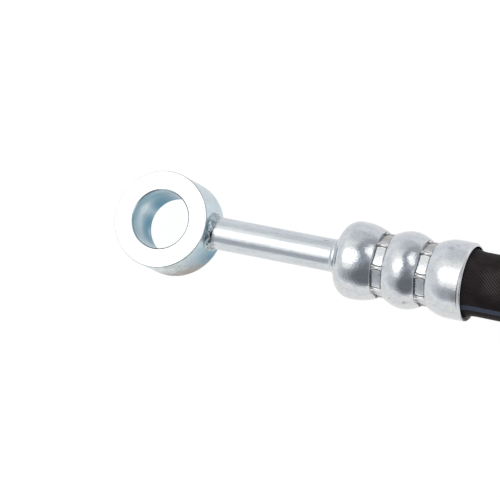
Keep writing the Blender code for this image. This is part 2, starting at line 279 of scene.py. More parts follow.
def plating_group():
    """Zinc plating: clouds of a second colour, fine dark grain, and scattered pits that are dull."""
    inputs = {
        "Place": "Vector",
        "Colour": "Color",
        "Cloud Colour": "Color",
        "Cloud Scale": "Float",
        "Grain Scale": "Float",
        "Pit Amount": "Float",
        "Roughness": "Float",
    }
    outputs = {"Colour": "Color", "Roughness": "Float", "Height": "Float"}
    tree, given, result = new_group("zinc_plating", inputs, outputs)
    clouds = noise(tree, given["Place"], given["Cloud Scale"], 4.0, 0.62)
    grain = noise(tree, given["Place"], given["Grain Scale"], 2.0, 0.6)
    spots = noise(tree, given["Place"], maths(tree, "MULTIPLY", given["Grain Scale"], 0.5))
    pits = ramp(tree, spots, 0.72, 0.80)
    pits = maths(tree, "MULTIPLY", pits, given["Pit Amount"])
    cloudy = blend_colour(tree, ramp(tree, clouds, 0.36, 0.66), given["Colour"], given["Cloud Colour"])
    specks = maths(tree, "MULTIPLY", ramp(tree, grain, 0.52, 0.68), SPECK_AMOUNT)
    specked = blend_colour(tree, specks, cloudy, SPECK_COLOUR)
    pitted = blend_colour(tree, pits, specked, PIT_COLOUR)
    rougher = maths(tree, "MULTIPLY_ADD", maths(tree, "SUBTRACT", clouds, 0.5), 0.22, given["Roughness"])
    tree.links.new(pitted, result.inputs["Colour"])
    tree.links.new(maths(tree, "MULTIPLY_ADD", pits, 0.3, rougher), result.inputs["Roughness"])
    swell = maths(tree, "MULTIPLY_ADD", clouds, 0.5, grain)
    tree.links.new(maths(tree, "SUBTRACT", swell, pits), result.inputs["Height"])
    return tree


def grime_and_shade_group():
    """Grime and painted shade in corners: a mask of the surface, broken up by noise, that tints and dulls
    what it covers.
    """
    inputs = {
        "Place": "Vector",
        "Mask": "Float",
        "Colour": "Color",
        "Grime And Shade Colour": "Color",
        "Roughness": "Float",
    }
    outputs = {"Colour": "Color", "Roughness": "Float"}
    tree, given, result = new_group("corner_grime_and_shade", inputs, outputs)
    broken = maths(tree, "MULTIPLY_ADD", noise(tree, given["Place"], 900.0), 0.7, -0.35)
    spread = ramp(tree, maths(tree, "ADD", given["Mask"], broken), 0.12, 0.85)
    share = maths(tree, "MULTIPLY", spread, ramp(tree, given["Mask"], 0.0, 0.35))
    tree.links.new(blend_colour(tree, share, given["Colour"], given["Grime And Shade Colour"]), result.inputs["Colour"])
    rough = maths(tree, "MULTIPLY_ADD", share, 0.3, given["Roughness"])
    tree.links.new(rough, result.inputs["Roughness"])
    return tree


PLATING = plating_group()
GRIME_AND_SHADE = grime_and_shade_group()


def new_material(name):
    """An empty Principled material: its tree, its shader and its material."""
    made = bpy.data.materials.new(name)
    made.use_nodes = True
    return made.node_tree, made.node_tree.nodes["Principled BSDF"], made


def object_place(tree, scale=(1.0, 1.0, 1.0)):
    """Object coordinates, drawn out along the axes where the scale is below one."""
    source = tree.nodes.new("ShaderNodeTexCoord").outputs["Object"]
    return put(tree, "ShaderNodeMapping", {"Vector": source, "Scale": scale}).outputs[0]


def placed(tree, group, inputs):
    """The outputs of a node group that is placed in a material with its own values."""
    return put(tree, "ShaderNodeGroup", inputs, node_tree=group).outputs


def add_bump(tree, shader, height, depth):
    """Feeds a height of a given depth in metres to the shader's normal."""
    bump = put(tree, "ShaderNodeBump", {"Height": height, "Distance": depth, "Strength": 1.0})
    tree.links.new(bump.outputs[0], shader.inputs["Normal"])


def zinc(
    name, colour, cloud, cloud_scale, grain_scale, pits, roughness, depth, grime_and_shade, tint, stretch=(1, 1, 1)
):
    """Plated metal, with tint, wear and painted highlights, and grime and painted shade, where the piece's
    own masks name them.
    """
    tree, shader, made = new_material(name)
    shader.inputs["Metallic"].default_value = 1.0
    place = object_place(tree, stretch)
    plating = placed(
        tree,
        PLATING,
        {
            "Place": place,
            "Colour": (*colour, 1.0),
            "Cloud Colour": (*cloud, 1.0),
            "Cloud Scale": cloud_scale,
            "Grain Scale": grain_scale,
            "Pit Amount": pits,
            "Roughness": roughness,
        },
    )
    # The masks carry grime and painted shade, tint, and wear and painted highlights.
    masks = [put(tree, "ShaderNodeAttribute", attribute_name=mask) for mask in ("grime_and_shade", "tint", "wear_and_highlight")]
    grime_and_shade_share, share, wear_and_highlight_share = (mask.outputs["Fac"] for mask in masks)
    tinted = blend_colour(tree, share, plating["Colour"], (*tint, 1.0))
    tinted = blend_colour(tree, wear_and_highlight_share, tinted, WEAR_AND_HIGHLIGHT_METAL)
    grimed_and_shaded = placed(
        tree,
        GRIME_AND_SHADE,
        {
            "Place": place,
            "Mask": grime_and_shade_share,
            "Colour": tinted,
            "Grime And Shade Colour": (*grime_and_shade, 1.0),
            "Roughness": plating["Roughness"],
        },
    )
    tree.links.new(grimed_and_shaded["Colour"], shader.inputs["Base Color"])
    tree.links.new(grimed_and_shaded["Roughness"], shader.inputs["Roughness"])
    add_bump(tree, shader, plating["Height"], depth)
    return made


RUBBER_DARK = (0.008, 0.0055, 0.0062, 1.0)
RUBBER_LIGHT = (0.066, 0.055, 0.057, 1.0)
STRIPE_BLUE = (0.066, 0.083, 0.120, 1.0)
RUBBER_GRAIN = 0.05 * MM
RUBBER_SHINE = 0.05

# Print of the wrapping: ribs round the hose, and their slants in ribs for each circumference along it
RIB_COUNT = 66.0
RIB_SLANT = 55.0
CROSSING_SLANT = -60.0
CROSSING_SHARE = 0.2

# Share of a turn where the print is clearest, the shares away from it where it fades, and its loss there
PRINT_MIDDLE = 0.534
PRINT_FADES = (0.06, 0.15)
PRINT_LOSS = 0.55


def rubber(name):
    """Hose rubber with the print of its wrapping: slanted ribs, faint crossing ones, and a smooth stripe.

    The print is clearest along the top of the hose and fainter at the sides. It runs on the hose's
    own map, which counts turns round it and circumferences along it.
    """
    tree, shader, made = new_material(name)
    shader.inputs["Specular IOR Level"].default_value = RUBBER_SHINE
    place = object_place(tree)
    own_map = tree.nodes.new("ShaderNodeUVMap")
    own_map.uv_map = "wrap"
    split = put(tree, "ShaderNodeSeparateXYZ", {0: own_map.outputs[0]})
    around, along = split.outputs[0], split.outputs[1]

    def ribs(slant):
        phase = maths(tree, "MULTIPLY_ADD", along, slant, maths(tree, "MULTIPLY", around, RIB_COUNT))
        wave = maths(tree, "SINE", maths(tree, "MULTIPLY", phase, 2 * pi))
        return maths(tree, "MULTIPLY_ADD", wave, 0.5, 0.5)

    patches = ramp(tree, noise(tree, place, 120.0, 2.0), 0.40, 0.62)
    main = maths(tree, "MULTIPLY", ribs(RIB_SLANT), maths(tree, "MULTIPLY_ADD", patches, 0.75, 0.25))
    crossing = maths(tree, "MULTIPLY", ribs(CROSSING_SLANT), CROSSING_SHARE)
    off_top = maths(tree, "ABSOLUTE", maths(tree, "SUBTRACT", around, PRINT_MIDDLE))
    print_fade = maths(tree, "MULTIPLY_ADD", ramp(tree, off_top, *PRINT_FADES), -PRINT_LOSS, 1.0)
    weave = maths(tree, "MULTIPLY", maths(tree, "ADD", main, crossing), print_fade)
    specks = noise(tree, place, 1800.0, 3.0, 0.7)
    tone = maths(tree, "MULTIPLY_ADD", specks, 0.3, maths(tree, "MULTIPLY", weave, 0.9))
    ground = blend_colour(tree, ramp(tree, tone, 0.1, 1.0, False), RUBBER_DARK, RUBBER_LIGHT)
    middle = (STRIPE_TURN + pi) / (2 * pi)
    half = STRIPE_WIDTH / 2 / (2 * pi * HOSE_RADIUS)
    aside = maths(tree, "ABSOLUTE", maths(tree, "SUBTRACT", around, middle))
    stripe = maths(tree, "SUBTRACT", 1.0, ramp(tree, aside, half * 0.92, half * 1.08))
    colour = blend_colour(tree, stripe, ground, STRIPE_BLUE)
    tree.links.new(colour, shader.inputs["Base Color"])
    dull = maths(tree, "MULTIPLY_ADD", specks, 0.2, 0.46)
    tree.links.new(maths(tree, "MULTIPLY_ADD", stripe, -0.12, dull), shader.inputs["Roughness"])
    relief = maths(tree, "MULTIPLY", weave, maths(tree, "SUBTRACT", 1.0, stripe))
    add_bump(tree, shader, maths(tree, "MULTIPLY_ADD", specks, 0.3, relief), RUBBER_GRAIN)
    return made


ZINC_EYE = zinc(
    "zinc_eye",
    colour=(0.57, 0.70, 0.77),
    cloud=(0.515, 0.63, 0.69),
    cloud_scale=420.0,
    grain_scale=2000.0,
    pits=0.5,
    roughness=0.19,
    depth=0.012 * MM,
    grime_and_shade=(0.40, 0.36, 0.34),
    tint=(0.0, 0.17, 0.28),
)
ZINC_PIPE = zinc(
    "zinc_pipe",
    colour=(0.64, 0.69, 0.73),
    cloud=(0.58, 0.625, 0.665),
    cloud_scale=520.0,
    grain_scale=2600.0,
    pits=0.3,
    roughness=0.12,
    depth=0.012 * MM,
    grime_and_shade=(0.12, 0.12, 0.12),
    tint=(0.45, 0.42, 0.38),
    stretch=(0.2, 1.0, 1.0),
)
ZINC_FERRULE = zinc(
    "zinc_ferrule",
    colour=(0.65, 0.675, 0.705),
    cloud=(0.585, 0.62, 0.665),
    cloud_scale=700.0,
    grain_scale=1800.0,
    pits=0.5,
    roughness=0.11,
    depth=0.034 * MM,
    grime_and_shade=(0.08, 0.072, 0.06),
    tint=(0.34, 0.32, 0.295),
)
BRAZE_METAL = zinc(
    "braze",
    colour=(0.56, 0.65, 0.69),
    cloud=(0.30, 0.38, 0.42),
    cloud_scale=420.0,
    grain_scale=1500.0,
    pits=0.6,
    roughness=0.22,
    depth=0.06 * MM,
    grime_and_shade=(0.012, 0.018, 0.022),
    tint=(0.13, 0.20, 0.25),
)
RUBBER = rubber("rubber")


def wrapped_quads(rows, columns):
    """Quads of a grid that closes on itself both ways: each joins a point to its three next neighbours."""
    index = np.arange(rows * columns).reshape(rows, columns)
    right = np.roll(index, -1, axis=1)
    below = np.roll(index, -1, axis=0)
    across = np.roll(below, -1, axis=1)
    return np.stack((index, right, across, below), axis=-1).reshape(-1, 4)


def shell_volume(points, quads):
    """Signed volume: a sixth of the sum of each triangle's triple product."""
    a, b, c, d = (points[quads[:, i]] for i in range(4))
    triple = np.einsum("ij,ij->i", a, np.cross(b, c)) + np.einsum("ij,ij->i", a, np.cross(c, d))
    return triple.sum() / 6


def shell(name, grid, finish, masks=None, wrap_map=None):
    """A closed shell from a grid of points that closes on itself both ways, with its faces outwards.

    Each mask is a named value at every point, which the finish reads.
    """
    rows, columns = grid.shape[:2]
    points = grid.reshape(-1, 3)
    quads = wrapped_quads(rows, columns)
    inward = shell_volume(points, quads) < 0
    if inward:
        quads = quads[:, ::-1]
    mesh = bpy.data.meshes.new(name)
    mesh.from_pydata(points.tolist(), [], quads.tolist())
    mesh.shade_smooth()
    mesh.materials.append(finish)
    for mask, values in (masks or {}).items():
        layer = mesh.attributes.new(mask, "FLOAT", "POINT")
        spread = np.broadcast_to(values, grid.shape[:2]).reshape(-1)
        layer.data.foreach_set("value", spread.astype(np.float32))
    if wrap_map is not None:
        ends = np.stack((wrap_map[:-1, :-1], wrap_map[:-1, 1:], wrap_map[1:, 1:], wrap_map[1:, :-1]), axis=2)
        corners = ends.reshape(-1, 4, 2)
        if inward:
            corners = corners[:, ::-1]
        layer = mesh.uv_layers.new(name="wrap")
        layer.data.foreach_set("uv", np.ascontiguousarray(corners).reshape(-1))
    return in_scene(name, mesh)


def finished(piece, node):
    """The piece rides on the object's one body and stands for its solid, which it hides."""
    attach(piece, "root")
    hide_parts(node)
    return piece


def rounded_outline(corners, trims, steps=CORNER_STEPS):
    """A closed outline with its corners rounded.

    Each corner C is replaced by a quadratic Bezier curve between the points A and B that lie the
    corner's trim back along its two sides: (1-t)^2 A + 2 t (1-t) C + t^2 B.
    """
    corners = np.asarray(corners)
    trims = np.asarray(trims)[:, None]
    back = np.roll(corners, 1, axis=0) - corners
    ahead = np.roll(corners, -1, axis=0) - corners
    first = corners + trims * back / np.linalg.norm(back, axis=1, keepdims=True)
    last = corners + trims * ahead / np.linalg.norm(ahead, axis=1, keepdims=True)
    t = np.linspace(0.0, 1.0, steps + 1)[None, :, None]
    curve = (1 - t) ** 2 * first[:, None] + 2 * t * (1 - t) * corners[:, None] + t * t * last[:, None]
    return curve.reshape(-1, 2)


def dense(outline, longest, closed=True):
    """The outline with each side cut into equal parts no longer than the given length.

    An open outline has no side from its last point to its first.
    """
    ahead = np.roll(outline, -1, axis=0) - outline
    lengths = np.linalg.norm(ahead, axis=1)
    parts = np.maximum(np.ceil(lengths / longest), 1).astype(int)
    if not closed:
        parts[-1] = 1
    side = np.repeat(np.arange(len(outline)), parts)
    step = np.arange(parts.sum()) - np.repeat(np.cumsum(parts) - parts, parts)
    kept = np.repeat(lengths > 1e-9, parts)
    return (outline[side] + ahead[side] * (step / parts[side])[:, None])[kept]


def around_pipe(along, radius, turn, move):
    """Points at places along the pipe, at radii and turns round its axis."""
    shape = np.broadcast_shapes(along.shape, radius.shape, turn.shape)
    along, radius, turn = (np.broadcast_to(values, shape) for values in (along, radius, turn))
    points = np.stack((along, radius * np.sin(turn), radius * np.cos(turn)), axis=-1)
    return points + EYE_AT + move


def full_turn(steps):
    """Equal steps round an axis, as one column."""
    return np.linspace(0.0, 2 * pi, steps, endpoint=False)[:, None]


def turned_along_pipe(outline, steps, move):
    """A closed outline of (place along, radius) turned round the pipe's axis."""
    return around_pipe(outline[None, :, 0], outline[None, :, 1], full_turn(steps), move)


def rise_between(value, low, high):
    """Smooth step: 0 below low, 1 above high, 3 s^2 - 2 s^3 between."""
    s = np.clip((value - low) / (high - low), 0.0, 1.0)
    return s * s * (3 - 2 * s)


def bell(value, middle, width):
    """1 at the middle, falling off as exp(-((value - middle) / width)^2)."""
    return np.exp(-(((value - middle) / width) ** 2))


def spot(turn, middle, width):
    """1 at one turn round an axis and falling off as a bell over a width, both in degrees."""
    return bell((np.degrees(turn) - middle + 180) % 360 - 180, 0, width)


def shares_after(count):
    """Equal shares of the way in one row, from 1 / count to 1."""
    return np.linspace(0.0, 1.0, count + 1)[None, 1:]


def bezier(first, corner, last, steps, skip_first=True):
    """Steps columns on the quadratic Bezier curve (1-t)^2 A + 2 t (1-t) C + t^2 B, for every turn."""
    t = np.linspace(0.0, 1.0, steps + 1)[None, int(skip_first):]
    return (1 - t) ** 2 * first + 2 * t * (1 - t) * corner + t * t * last


def part_lengths(points):
    """Lengths of the parts of a line between its points."""
    return np.linalg.norm(np.diff(points, axis=0), axis=1)


def distances(lengths):
    """How far each point of a line lies from its start, by the lengths of its parts."""
    return np.concatenate(([0.0], np.cumsum(lengths)))


def smooth_route(given, step, start_direction, end_direction):
    """Points every step along the cubic spline through the given ones, which leaves and arrives straight.

    With chord lengths as the parameter, the slopes at the given points solve the tridiagonal system
    that makes the curvature continuous: h1 m0 + 2 (h0 + h1) m1 + h0 m2 = 3 (h1 r0 + h0 r1).
    """
    chord = part_lengths(given)
    at = distances(chord)
    rise = np.diff(given, axis=0) / chord[:, None]
    count = len(given)
    inner = np.arange(1, count - 1)
    system = np.eye(count)
    system[inner, inner - 1] = chord[1:]
    system[inner, inner] = 2 * (chord[:-1] + chord[1:])
    system[inner, inner + 1] = chord[:-1]
    right = np.zeros((count, 3))
    right[0], right[-1] = start_direction, end_direction
    right[1:-1] = 3 * (chord[1:, None] * rise[:-1] + chord[:-1, None] * rise[1:])
    slope = np.linalg.solve(system, right)
    wanted = np.linspace(0.0, at[-1], round(at[-1] / step) + 1)
    i = np.clip(np.searchsorted(at, wanted, side="right") - 1, 0, count - 2)
    span = chord[i][:, None]
    t = (wanted - at[i])[:, None] / span
    leaving = given[i] * (1 + 2 * t) * (1 - t) ** 2 + slope[i] * span * t * (1 - t) ** 2
    return leaving + given[i + 1] * t * t * (3 - 2 * t) + slope[i + 1] * span * t * t * (t - 1)


def bulge_spans():
    """Start and end of each bulge, from the neck."""
    lengths = np.array(BULGE_LENGTHS)
    starts = distances(lengths[:-1] + GROOVE_WIDTH)
    return np.stack((starts, starts + lengths), axis=1)


def crest_places(spans):
    """Place of each bulge's crest, from the neck."""
    return spans[:, 0] + (spans[:, 1] - spans[:, 0]) * CREST_SHARES


def ferrule_inside():
    """Inner outline from neck to mouth as (place, radius): a flange's hole, then a chamber with waists."""
    hole = PIPE_RADIUS + GAP
    waist = JAW_FLAT - FERRULE_WALL
    chamber = SHOULDER_RADIUS - FERRULE_WALL
    flange = FERRULE_WALL * FLANGE_WALLS
    spans = bulge_spans()
    first, second, third = spans
    crests = crest_places(spans)
    round_off = FERRULE_WALL * WAIST_WALLS
    past = FERRULE_WALL / 2
    return np.array(
        (
            (0.0, hole),
            (flange, hole),
            (flange, chamber - past),
            (crests[0], CREST_RADII[0] - FERRULE_WALL),
            (first[1] - round_off, chamber),
            (first[1] - past, waist),
            (second[0] + past, waist),
            (second[0] + round_off, chamber),
            (crests[1], CREST_RADII[1] - FERRULE_WALL),
            (second[1] - round_off, chamber),
            (second[1] - past, waist),
            (third[0] + past, waist),
            (third[0] + round_off, chamber),
            (crests[2], CREST_RADII[2] - FERRULE_WALL),
            (FERRULE_LENGTH, MOUTH_RADIUS - MOUTH_WALL),
        )
    )


def hose_line():
    """Centre line of the whole hose and its radius along it.

    It runs straight through the near ferrule, along the free route and straight through the far one.
    Under a ferrule its radius is the chamber's less the gap, and never more than the free radius.
    """
    along = np.array((1.0, 0.0, 0.0))
    free = smooth_route(NEAR_MOUTH + ROUTE, HOSE_STEP, along, -along)
    chamber = ferrule_inside()[2:]
    start = chamber[0, 0] + GAP
    count = round((FERRULE_LENGTH - start) / HOSE_STEP)
    places = np.linspace(start, FERRULE_LENGTH, count, endpoint=False)
    flared = HOSE_RADIUS + HOSE_FLARE * bell(places, FERRULE_LENGTH - FLARE_INSIDE, FLARE_WIDTH)
    squeezed = np.minimum(np.interp(places, chamber[:, 0], chamber[:, 1] - GAP), flared)
    near = NEAR_MOUTH + (places - FERRULE_LENGTH)[:, None] * along
    line = np.concatenate((near, free, near[::-1] + FAR_MOVE))
    run = distances(part_lengths(free))
    to_mouth = np.minimum(run, run[-1] - run)
    outside = HOSE_RADIUS + HOSE_FLARE * bell(to_mouth, -FLARE_INSIDE, FLARE_WIDTH)
    radius = np.concatenate((squeezed, outside, squeezed[::-1]))
    return line, radius


def hose_piece():
    """The hose, a tube along its centre line with its bore, and the points of that line.

    A point at turn a and radius r is line + r (up cos a + side sin a), where side = Z x tangent and
    up = tangent x side. The map counts turns round and circumferences along.
    """
    line, radius = hose_line()
    tangent = np.gradient(line, axis=0)
    tangent /= np.linalg.norm(tangent, axis=1, keepdims=True)
    side = np.cross((0.0, 0.0, 1.0), tangent)
    side /= np.linalg.norm(side, axis=1, keepdims=True)
    up = np.cross(tangent, side)
    order = np.concatenate((np.arange(len(line)), np.arange(len(line))[::-1]))
    radii = np.concatenate((radius, np.full(len(line), HOSE_BORE)))
    turn = np.linspace(-pi, pi, TURN_STEPS, endpoint=False)[:, None, None]
    out = np.cos(turn) * up[order] + np.sin(turn) * side[order]
    grid = line[order] + radii[None, :, None] * out
    run = distances(part_lengths(line))[order] / (2 * pi * HOSE_RADIUS)
    run = np.append(run, run[0])
    share = np.linspace(0.0, 1.0, TURN_STEPS + 1)
    wrap_map = np.stack(np.broadcast_arrays(share[:, None], run[None, :]), axis=-1)
    piece = shell("hose_tube", grid, RUBBER, wrap_map=wrap_map)
    return finished(piece, "pressure_hose"), line


hose, hose_path = hose_piece()


def applied(piece, *cutters):
    """Takes the cutters out of a piece, keeps the result as its mesh and removes the cutters."""
    for cutter in cutters:
        boolean = piece.modifiers.new("cut", "BOOLEAN")
        boolean.operation = "DIFFERENCE"
        boolean.solver = "EXACT"
        boolean.object = cutter
    bpy.context.view_layer.update()
    result = bpy.data.meshes.new_from_object(piece.evaluated_get(bpy.context.evaluated_depsgraph_get()))
    piece.modifiers.clear()
    piece.data = result
    for cutter in cutters:
        bpy.data.objects.remove(cutter, do_unlink=True)
    return piece


def bore_tint_and_painted_light(turn, depth):
    """How much thinner and bluer the plating in the bore is, with painted reflections and painted shade laid
    over it.

    A painted reflection brightens a soft ring at two fifths of the depth, most of all away from the pipe, and
    painted shade darkens it towards the far edge, where a painted glint lies.
    """
    # The streak, ring, left shine and glint are painted reflections; lower and aside are painted shade.
    facing = spot(turn, 168, 36)
    streak = spot(turn, 160, 11) * rise_between(depth, 0.15, 0.4)
    ring = bell(depth, 0.42 - 0.05 * facing, 0.15)
    lower = rise_between(depth, 0.5, 0.85)
    aside = (1 - facing) * rise_between(depth, 0.1, 0.35) - 1.3 * spot(turn, 248, 15)
    glint = spot(turn, 200, 9) * bell(depth, 0.89, 0.06)
    left = spot(turn, 205, 26)
    shine = 0.42 * ring * facing + 0.32 * bell(depth, 0.36, 0.16) * left
    tint = 0.66 + 0.34 * aside + 0.22 * lower * facing - shine - 0.5 * glint - 0.38 * streak
    return np.clip(tint, 0, 1)


def side_painted_shade(turn, depth):
    """How far painted shade darkens the side: beside the pipe and more towards the far face."""
    shade = 0.5 * rise_between(depth, -0.2, 0.5) + 0.38 * rise_between(depth, 0.35, 0.9)
    below = spot(turn, -33, 26) * shade
    above = spot(turn, 54, 22) * (0.14 + 0.10 * rise_between(depth, 0.1, 0.6))
    return np.clip(below + above, 0, 1)


def side_painted_darkening(turn, depth):
    """Painted shade on the side that faces -Y, which deepens towards the far face, and a little beyond the
    pipe.
    """
    facing = spot(turn, -68, 40) * (0.42 + 0.42 * rise_between(depth, 0.3, 1.0))
    return facing + 0.26 * spot(turn, 54, 20)


def eye_piece(prefix, move):
    """The eye: a closed outline turned round the bore's axis, x = r cos a and y = r sin a.

    The stepped seat of the pipe is cut into its side. Its grime lies along the edges of its faces. Painted
    shade darkens its side, painted reflections and shade lie in its bore, wear and a painted highlight
    lighten its face, and a painted highlight lightens its upper chamfer.
    """
    top = EYE_HEIGHT / 2
    corners = (
        (EYE_BORE, -top + LOWER_BORE_CHAMFER),
        (EYE_BORE, top - EYE_BORE_CHAMFER),
        (EYE_BORE + EYE_BORE_CHAMFER, top),
        (EYE_RADIUS - EYE_RIM_CHAMFER, top),
        (EYE_RADIUS, top - EYE_RIM_CHAMFER),
        (EYE_RADIUS, -top + EYE_RIM_CHAMFER),
        (EYE_RADIUS - EYE_RIM_CHAMFER, -top),
        (EYE_BORE + LOWER_BORE_CHAMFER, -top),
    )
    trims = [LOWER_BORE_TRIM] + [EYE_TRIM] * 6 + [LOWER_BORE_TRIM]
    outline = dense(rounded_outline(corners, trims), EYE_STEP)
    turn = full_turn(TURN_STEPS)
    radius, height = outline[None, :, 0], outline[None, :, 1]
    flat = (radius * np.cos(turn), radius * np.sin(turn), height + 0 * turn)
    grid = np.stack(flat, axis=-1) + EYE_AT + move
    edge = np.minimum(np.abs(radius - EYE_RADIUS), np.abs(radius - EYE_BORE))
    rim = bell(top - np.abs(height), EYE_RIM_CHAMFER, RIM_GRIME) * (edge < EYE_RIM_CHAMFER)
    depth = (top - height) / EYE_HEIGHT
    in_bore = radius < EYE_BORE + 0.1 * EYE_BORE_CHAMFER
    on_side = radius > EYE_RADIUS - 0.5 * EYE_RIM_CHAMFER
    on_face = (height > top - 0.3 * EYE_RIM_CHAMFER) * (1 - on_side)
    on_chamfer = (1 - in_bore) * (1 - on_side) * (1 - on_face) * (height > 0)
    masks = {
        # Painted shade on the side, painted reflections and shade in the bore, wear and a painted highlight
        # on the face, and a painted highlight on the upper chamfer towards turn 128.
        "grime_and_shade": np.maximum(0.5 * rim, side_painted_darkening(turn, depth)) * on_side,
        "tint": in_bore * bore_tint_and_painted_light(turn, depth) + on_side * side_painted_shade(turn, depth),
        "wear_and_highlight": 0.6 * on_face + on_chamfer * spot(turn, 128, 28),
    }
    piece = shell(prefix + "eye_ring", grid, ZINC_EYE, masks)

    shoulder = EYE_RADIUS - PIPE_SEAT_DEPTH - GAP
    seat = PIPE_RADIUS + GAP
    stepped = np.array(
        (
            (EYE_BORE - OVERRUN, CUTTER_CORE),
            (EYE_BORE - OVERRUN, PORT_RADIUS),
            (shoulder, PORT_RADIUS),
            (shoulder, seat),
            (EYE_RADIUS + OVERRUN, seat),
            (EYE_RADIUS + OVERRUN, CUTTER_CORE),
        )
    )
    cutter = shell(prefix + "seat_cutter", turned_along_pipe(stepped, CUTTER_STEPS, move), ZINC_EYE)
    applied(piece, cutter)
    piece.data.set_sharp_from_angle(angle=SHARP_FROM)
    return finished(piece, prefix + "banjo_eye")


# Open pits and painted shade in the braze: turn round the pipe and width in degrees, share of the fillet,
# spread and strength
BRAZE_PITS_AND_SHADE = (
    (-15.0, 13.0, 0.15, 0.26, 1.0),
    (3.0, 6.0, 0.45, 0.12, 0.45),
    (36.0, 8.0, 0.25, 0.2, 0.35),
    (64.0, 6.0, 0.5, 0.2, 0.3),
    # This row is painted shade on the fillet under the pipe.
    (-70.0, 9.0, 0.5, 0.3, 0.4),
    (160.0, 10.0, 0.3, 0.2, 0.7),
    (-130.0, 8.0, 0.5, 0.2, 0.5),
)


def unevenness(turn, share):
    """Lumps of the braze: a sum of sines of the turn and of the share of the way along the fillet."""
    lumps = 0.40 * np.sin(3 * turn + 0.7) * np.sin(pi * share)
    lumps = lumps + 0.30 * np.sin(7 * turn + 2.1 + 2.5 * share)
    lumps = lumps + 0.22 * np.sin(12 * turn - 1.3 + 5.0 * share)
    return lumps + 0.16 * np.sin(19 * turn + 0.4 - 9.0 * share)


def braze_piece(prefix, move):
    """The fillet: a hollow curve swept round the pipe, whose foot follows the round rim of the eye.

    A point at turn a and radius r on the rim stands at sqrt(R^2 - (r sin a)^2) from the eye's axis,
    where R is the rim's radius. The curve is a quadratic Bezier from the toe on the pipe to the toe on
    the rim, moved out and along in equal measure by the lumps.
    """
    turn = full_turn(TURN_STEPS)
    pipe = PIPE_RADIUS + BRAZE_OFF
    rim = EYE_RADIUS + BRAZE_OFF

    def rim_at(radius):
        return np.sqrt(rim**2 - (radius * np.sin(turn)) ** 2)

    uneven = 1.0 + 0.10 * np.sin(2 * turn + 0.6) + 0.12 * np.sin(5 * turn - 0.8)
    start_x = rim_at(pipe) + BRAZE_REACH * uneven
    end_r = pipe + BRAZE_FOOT * uneven
    t = np.linspace(0.0, 1.0, BRAZE_STEPS + 1)[None, :]
    radius = bezier(pipe + TOE_EDGE, pipe + 2 * BRAZE_TOE, end_r, BRAZE_STEPS, False)
    along = bezier(start_x, rim_at(pipe) + 2 * BRAZE_TOE, rim_at(end_r) + TOE_EDGE, BRAZE_STEPS, False)
    swell = (BRAZE_LUMPS * unevenness(turn, t) + BRAZE_SWELL) * MM * np.sin(pi * t)
    slanted = 0.7 * swell
    radius = radius + slanted
    along = along + slanted
    half_r = 0.5 * (end_r + pipe)
    inner_r = np.concatenate((end_r, half_r, pipe + 0 * turn, pipe + 0 * turn), axis=1)
    inner_x = np.concatenate((rim_at(end_r), rim_at(half_r), rim_at(pipe), start_x), axis=1)
    places = np.concatenate((along, inner_x), axis=1)
    grid = around_pipe(places, np.concatenate((radius, inner_r), axis=1), turn, move)
    # The pits' mask also carries painted shade under the pipe.
    pits = sum(
        strength * spot(turn, middle, width) * bell(t, share, spread)
        for middle, width, share, spread, strength in BRAZE_PITS_AND_SHADE
    )
    toe = 0.4 * bell(t, 0.0, 0.05)
    tint = np.clip(0.12 - 0.38 * unevenness(turn, t), 0.0, 0.7)
    masks = {
        "grime_and_shade": np.concatenate((np.clip(pits + toe, 0.0, 1.0), 0 * inner_r), axis=1),
        "tint": np.concatenate((tint, 0 * inner_r), axis=1),
    }
    piece = shell(prefix + "braze_fillet", grid, BRAZE_METAL, masks)
    return finished(piece, prefix + "banjo_braze")


def pipe_piece(prefix, move):
    """The pipe: a closed outline of places and radii turned round its axis, with the bead at the ferrule."""
    seat = EYE_RADIUS - PIPE_SEAT_DEPTH
    bead_end = NECK_AT - BEAD_OFF
    bead_start = bead_end - BEAD_WIDTH - BEAD_FOOT
    crest = PIPE_RADIUS + BEAD_HEIGHT
    stem_end = NECK_AT + STEM_LENGTH
    corners = (
        (seat, PIPE_BORE),
        (seat, PIPE_RADIUS),
        (bead_start, PIPE_RADIUS),
        (bead_start + BEAD_SLOPE, crest),
        (bead_end, crest),
        (bead_end, PIPE_RADIUS),
        (stem_end, PIPE_RADIUS),
        (stem_end, PIPE_BORE),
    )
    trims = MM * np.array((0.1, 0.1, 0.3, 0.32, 0.25, 0.02, 0.2, 0.1))
    outline = dense(rounded_outline(corners, trims), PIPE_STEP)
    place = outline[:, 0]
    near_braze = np.exp(-np.maximum(place - EYE_RADIUS - 1.6 * MM, 0) / (0.35 * MM)) * (place < NECK_AT)
    near_neck = bell(place, NECK_AT, 0.25 * MM)
    grid = turned_along_pipe(outline, TURN_STEPS, move)
    piece = shell(prefix + "plain_pipe", grid, ZINC_PIPE, {"grime_and_shade": 0.7 * near_neck + 0.45 * near_braze})
    return finished(piece, prefix + "banjo_pipe")


def jaw_turns():
    """Turns round the ferrule, closer together at the ridges between the jaws."""
    t = np.linspace(-1.0, 1.0, SECTOR_STEPS, endpoint=False)
    sector = 2 * pi / JAW_COUNT
    local = sector / 2 * (EVEN_SHARE * t + (1 - EVEN_SHARE) * np.sin(pi * t / 2))
    middles = JAW_MIDDLE + sector * np.arange(JAW_COUNT)
    return (middles[:, None] + local[None, :]).reshape(-1, 1)


